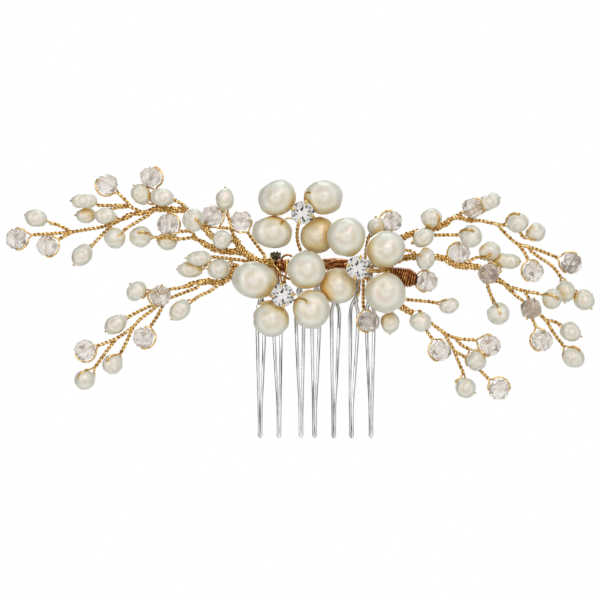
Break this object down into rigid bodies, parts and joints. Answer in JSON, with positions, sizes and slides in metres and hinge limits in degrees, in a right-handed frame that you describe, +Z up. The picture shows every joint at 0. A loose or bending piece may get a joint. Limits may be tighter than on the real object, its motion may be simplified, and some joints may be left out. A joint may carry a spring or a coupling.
{
  "type": "decorative hair comb",
  "caption": "Wire hair comb with pearl flowers, claw-set rhinestones and sprays of pearls and faceted crystals on twisted gilt wire.",
  "frame": {"origin": "middle of the comb's rail, where the teeth meet it and the hair holds it", "axes": "+X along the rail, to the right as seen from the show side, +Z up away from the tooth tips, -Y out of the side on show"},
  "size_m": [0.1474, 0.0166, 0.0679],
  "materials": {
    "comb_steel": "bright drawn wire, slightly darker along the edges",
    "gilt_metal": "bright gilt craft wire, twisted",
    "binding_wire": "copper-brown binding wire, satin",
    "petal_pearl": "ivory nacre with soft lustre and faint rings",
    "spray_pearl": "ivory nacre, a little uneven",
    "crystal": "faceted, clear with a faint pink tint",
    "rhinestone": "brilliant cut with a foiled back"
  },
  "bodies": {
    "root": {"comb_rail": "comb_steel", "comb_tooth_1": "comb_steel", "comb_tooth_2": "comb_steel", "comb_tooth_3": "comb_steel", "comb_tooth_4": "comb_steel", "comb_tooth_5": "comb_steel", "comb_tooth_6": "comb_steel", "comb_tooth_7": "comb_steel", "petal_a1": "petal_pearl", "petal_a2": "petal_pearl", "petal_a3": "petal_pearl", "petal_a4": "petal_pearl", "petal_b1": "petal_pearl", "petal_b2": "petal_pearl", "petal_b3": "petal_pearl", "petal_b4": "petal_pearl", "petal_c1": "petal_pearl", "petal_c2": "petal_pearl", "petal_c3": "petal_pearl", "petal_c4": "petal_pearl", "rhinestone_a": "rhinestone", "claw_setting_a": "gilt_metal", "rhinestone_b": "rhinestone", "claw_setting_b": "gilt_metal", "rhinestone_c": "rhinestone", "claw_setting_c": "gilt_metal", "lashing_left": "gilt_metal", "lashing_middle": "binding_wire", "lashing_right": "binding_wire", "left_sprig_01": "spray_pearl", "left_sprig_02": "spray_pearl", "left_sprig_03": "spray_pearl", "left_sprig_04": "spray_pearl", "left_sprig_05": "spray_pearl", "left_sprig_06": "spray_pearl", "left_sprig_07": "spray_pearl", "left_sprig_08": "crystal", "left_sprig_09": "spray_pearl", "left_sprig_10": "spray_pearl", "left_sprig_11": "spray_pearl", "left_sprig_12": "spray_pearl", "left_sprig_13": "spray_pearl", "left_sprig_14": "spray_pearl", "right_sprig_01": "spray_pearl", "right_sprig_02": "spray_pearl", "right_sprig_03": "spray_pearl", "right_sprig_04": "spray_pearl", "right_sprig_05": "crystal", "right_sprig_06": "spray_pearl", "right_sprig_07": "spray_pearl", "right_sprig_08": "spray_pearl", "right_sprig_09": "spray_pearl", "right_sprig_10": "spray_pearl", "right_sprig_11": "spray_pearl", "right_sprig_12": "spray_pearl", "right_sprig_13": "spray_pearl", "right_sprig_14": "spray_pearl", "right_sprig_15": "spray_pearl", "right_sprig_16": "spray_pearl", "right_sprig_17": "spray_pearl"}
  },
  "joints": []
}
